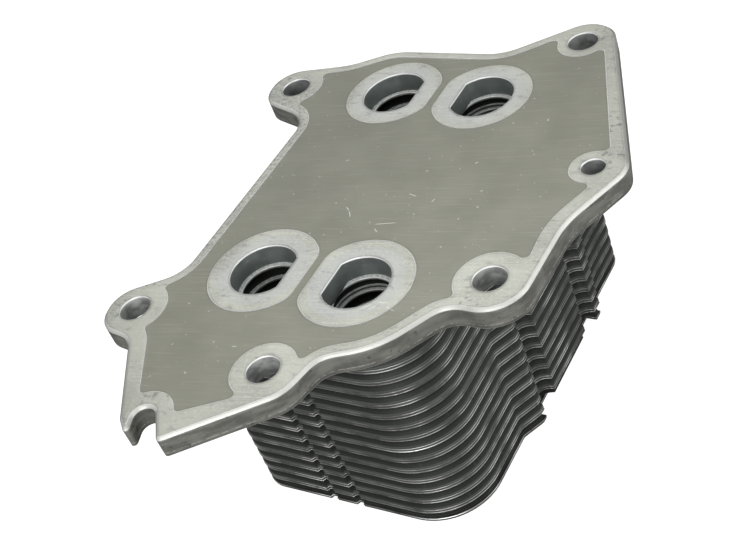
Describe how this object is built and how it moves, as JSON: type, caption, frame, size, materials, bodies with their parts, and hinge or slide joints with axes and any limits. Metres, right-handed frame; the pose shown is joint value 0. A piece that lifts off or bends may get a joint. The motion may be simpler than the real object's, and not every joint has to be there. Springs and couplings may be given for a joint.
{
  "type": "engine oil cooler",
  "caption": "Stacked-plate engine oil cooler: a thick scalloped flange with D-shaped ports and bolt holes over a brazed core of nested plates.",
  "frame": {"origin": "centre of the four-port pattern on the base plate's sealing face", "axes": "+Z out of the sealing face, away from the core; +X from the left ports to the right ports; +Y along the port columns"},
  "size_m": [0.1286, 0.1723, 0.0772],
  "materials": {
    "machined_plate": "machined",
    "core_sheet": "brazed, dull",
    "turbulator_sheet": "dull"
  },
  "bodies": {
    "root": {"base_plate": "machined_plate", "core_plate_01": "core_sheet", "core_plate_02": "core_sheet", "core_plate_03": "core_sheet", "core_plate_04": "core_sheet", "core_plate_05": "core_sheet", "core_plate_06": "core_sheet", "core_plate_07": "core_sheet", "core_plate_08": "core_sheet", "core_plate_09": "core_sheet", "core_plate_10": "core_sheet", "core_plate_11": "core_sheet", "core_plate_12": "core_sheet", "core_plate_13": "core_sheet", "core_plate_14": "core_sheet", "core_plate_15": "core_sheet", "turbulator_01": "turbulator_sheet", "turbulator_03": "turbulator_sheet", "turbulator_05": "turbulator_sheet", "turbulator_07": "turbulator_sheet", "turbulator_09": "turbulator_sheet", "turbulator_11": "turbulator_sheet", "turbulator_13": "turbulator_sheet", "turbulator_15": "turbulator_sheet", "end_plate": "core_sheet"}
  },
  "joints": []
}
